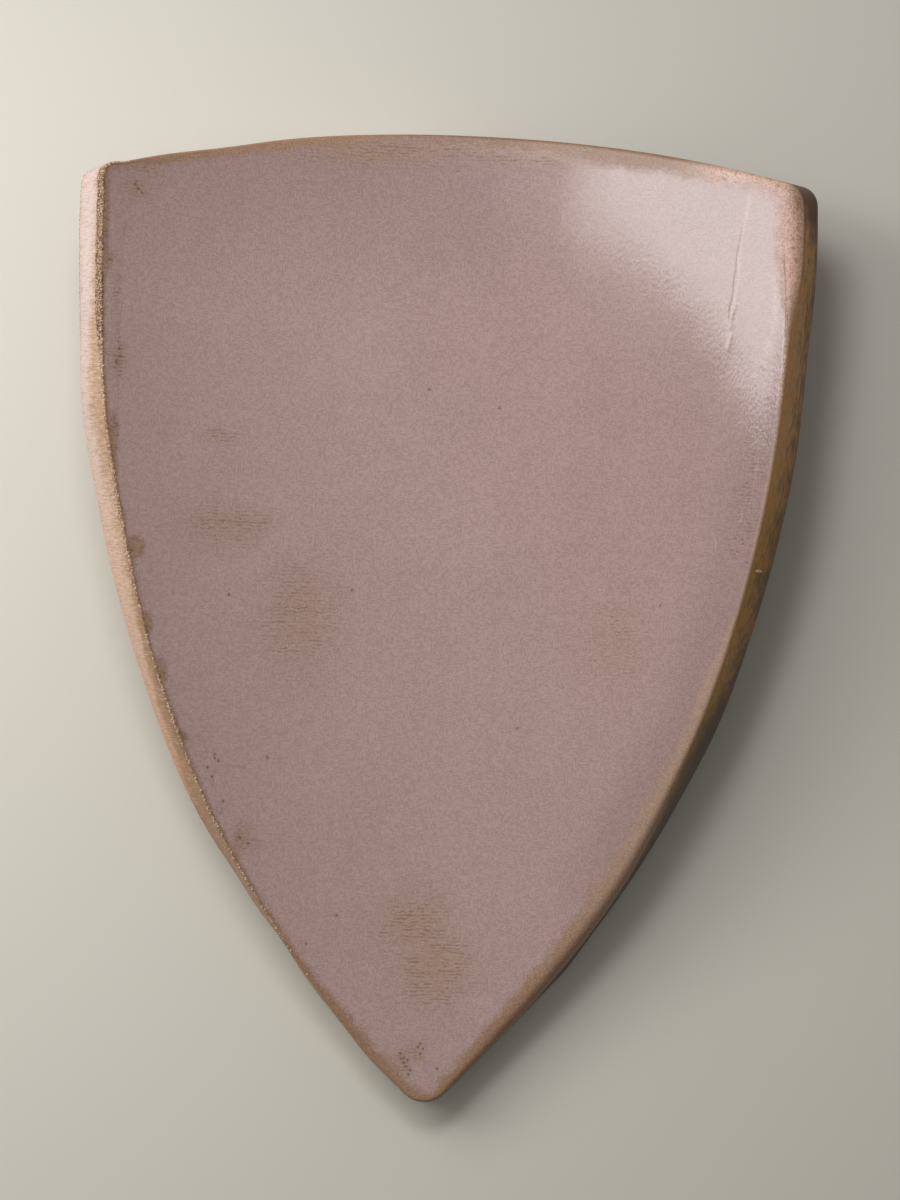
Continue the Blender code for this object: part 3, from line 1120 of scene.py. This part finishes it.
def as_beads(given, points):
    """A small squashed ball at each point, with its own size and tone."""
    ball_feeds = {"Radius": given["Bead radius"], "Subdivisions": 2}
    feeds = {
        "Points": points.outputs["Points"],
        "Instance": add("GeometryNodeMeshIcoSphere", ball_feeds).outputs["Mesh"],
        "Rotation": points.outputs["Rotation"],
        "Scale": chance("FLOAT_VECTOR", (0.55, 0.55, 0.40), (1.25, 1.25, 0.90), given["Seed"]),
    }
    beads = add("GeometryNodeInstanceOnPoints", feeds).outputs["Instances"]
    tone = chance("FLOAT", 0, 1, given["Seed"])
    return with_stored(beads, "bead_tone", tone, "INSTANCE")


end_tree(as_beads(bead_in, scattered(bead_in)), bead_in["Finish"])
print("tree:", bead_tree.name, "with", len(bead_tree.nodes), "nodes")

# %% The beads' finish, darker where the seam is thick
BEAD_PALE = (0.530, 0.355, 0.225, 1)
BEAD_DARK = (0.155, 0.072, 0.030, 1)
bead_finish, tree, shader = new_finish("latex_beads")
bead_place = add("ShaderNodeTexCoord").outputs["Object"]
bead_tone = plus(scaled(noise(bead_place, 900), 1.4, -0.7), kept("bead_tone"))
bead_tone = scaled(kept("crumbly"), -0.68, plus(bead_tone, 0.50))
tree.links.new(blend(bead_tone, BEAD_DARK, BEAD_PALE), shader.inputs["Base Color"])
tree.links.new(ramp(bead_tone, 0, 1, 0.36, 0.46), shader.inputs["Roughness"])
shader.inputs["IOR"].default_value = 1.55
print("finish:", bead_finish.name, "with", len(tree.nodes), "nodes")

# %% Make the beads on a copy of the finished skin
beads = put_in_scene("rim_beads", shield.data.copy())
bead_values = {
    "Beads on one metre square": 760000.0,
    "Band width": 2.6 * MM,
    "Bead radius": 0.76 * MM,
    "Seed": 5,
    "Finish": bead_finish,
}
made_plain(beads, bead_tree, bead_values)

# %% [markdown]
# One more crumb is bigger: a chip of latex that stands off the right wall. It is placed on the
# flat blank, like every mark, and bent round by the same rule before it joins the beads.

# %% A chip of latex that stands off the right wall
CHIP_PLACE = (260.2, 43, 24.5)  # on the blank: across, up and through, in millimetres
CHIP_SIZE = (0.8, 1.4, 5.0)
CHIP_TONE = 0.75
middle_radius = OUTER_BEND_RADIUS - THICKNESS / 2
chip_turn = CHIP_PLACE[0] * MM / middle_radius
chip_reach = OUTER_BEND_RADIUS - CHIP_PLACE[2] * MM
chip_height = OUTER_BEND_RADIUS - chip_reach * math.cos(chip_turn) - rest_flat_depth
chip_at = Vector((chip_reach * math.sin(chip_turn), CHIP_PLACE[1] * MM, chip_height))
chip_pose = Matrix.Translation(chip_at) @ Matrix.Rotation(-chip_turn, 4, "Y")
chip_pose = chip_pose @ Matrix.Diagonal((*[size * MM for size in CHIP_SIZE], 1))
bead_mesh = bmesh.new()
bead_mesh.from_mesh(beads.data)
tones = bead_mesh.verts.layers.float["bead_tone"]
chip = bmesh.ops.create_icosphere(bead_mesh, subdivisions=3, radius=1.0, matrix=chip_pose)
for vert in chip["verts"]:
    vert[tones] = CHIP_TONE
for face in bead_mesh.faces:
    face.smooth = True
    face.material_index = len(beads.data.materials) - 1
bead_mesh.to_mesh(beads.data)
bead_mesh.free()
print("beads and chip:", len(beads.data.polygons), "triangles")
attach(beads, "root")

# %% [markdown]
# ## The floor, the light and the camera
# The shield lies on a plain pale floor, and the camera looks straight down on it. One long
# softbox hangs over the left side, tilted, and a smaller panel of slightly cooler light hangs
# beyond the top edge. The rest of the room is a soft even white that falls off toward the lower
# right, as in a room with one dark wall: this, with the shade painted into the right wall's
# colour, leaves the right wall of the shield deep brown while the hollow face stays bright.

# %% The floor
FLOOR_HALF = 4.0
FLOOR_SIDES = ((-1, -1), (1, -1), (1, 1), (-1, 1))
floor_mesh = bpy.data.meshes.new("floor")
corners = [(x * FLOOR_HALF, y * FLOOR_HALF, 0) for x, y in FLOOR_SIDES]
floor_mesh.from_pydata(corners, [], [(0, 1, 2, 3)])
floor = put_in_scene("floor", floor_mesh)
floor_paint, tree, shader = new_finish("pale_floor")
shader.inputs["Base Color"].default_value = (0.55, 0.520, 0.445, 1)
shader.inputs["Roughness"].default_value = 0.9
floor_mesh.materials.append(floor_paint)

# %% The softbox, and a smaller panel beyond the top edge
SOFTBOX = {
    "middle": Vector((-1.727, 0.587, 1.078)),
    "along": Vector((-2.502, -0.116, 0.227)),
    "up": Vector((0.081, -0.342, 0.716)),
    "radiance": 6.6,
    "color": (1.0, 1.0, 1.0),
}
PANEL = {
    "middle": Vector((-0.232, 0.90, 1.430)),
    "along": Vector((0.480, 0.139, 0.0)),
    "up": Vector((-0.098, 0.330, -0.203)),
    "radiance": 16.4,
    "color": (1.0, 1.0, 1.08),
}


def hang(name, light):
    """An area light with these two sides; it shines away from their cross product."""
    lamp = bpy.data.lights.new(name, "AREA")
    lamp.shape = "RECTANGLE"
    lamp.size = light["along"].length
    lamp.size_y = light["up"].length
    lamp.energy = light["radiance"] * math.pi * lamp.size * lamp.size_y
    lamp.color = light["color"]
    stand = put_in_scene(name, lamp)
    back = light["along"].cross(light["up"]).normalized()
    side, rise = light["along"].normalized(), light["up"].normalized()
    stand.location = light["middle"]
    stand.rotation_euler = Matrix((side, rise, back)).transposed().to_euler()
    stand.visible_camera = False


hang("softbox", SOFTBOX)
hang("panel", PANEL)

# %% The room's own light
ROOM_STRENGTH = 0.37
DARK_WALL = Vector((0.62, -0.78, 0.0))
DARK_WALL_SHARE = 0.15
world = bpy.data.worlds.new("room")
world.use_nodes = True
tree = world.node_tree
feeds = {0: add("ShaderNodeTexCoord").outputs["Generated"], 1: DARK_WALL}
toward = add("ShaderNodeVectorMath", feeds, operation="DOT_PRODUCT").outputs["Value"]
room_light = ramp(toward, 0.15, 0.85, ROOM_STRENGTH, ROOM_STRENGTH * DARK_WALL_SHARE)
tree.links.new(room_light, tree.nodes["Background"].inputs["Strength"])
tree.nodes["Background"].inputs["Color"].default_value = (1.0, 1.0, 1.0, 1)
bpy.context.scene.world = world

# %% The camera
camera_data = bpy.data.cameras.new("photo_view")
camera_data.sensor_width = 36.0
camera_data.lens = 95.6
camera = put_in_scene("photo_view", camera_data)
camera.location = (0.00903, 0.0148, 2.5)
camera.rotation_euler = (0, 0, math.radians(1.65))
bpy.context.scene.camera = camera
bpy.context.scene.view_settings.view_transform = "Standard"
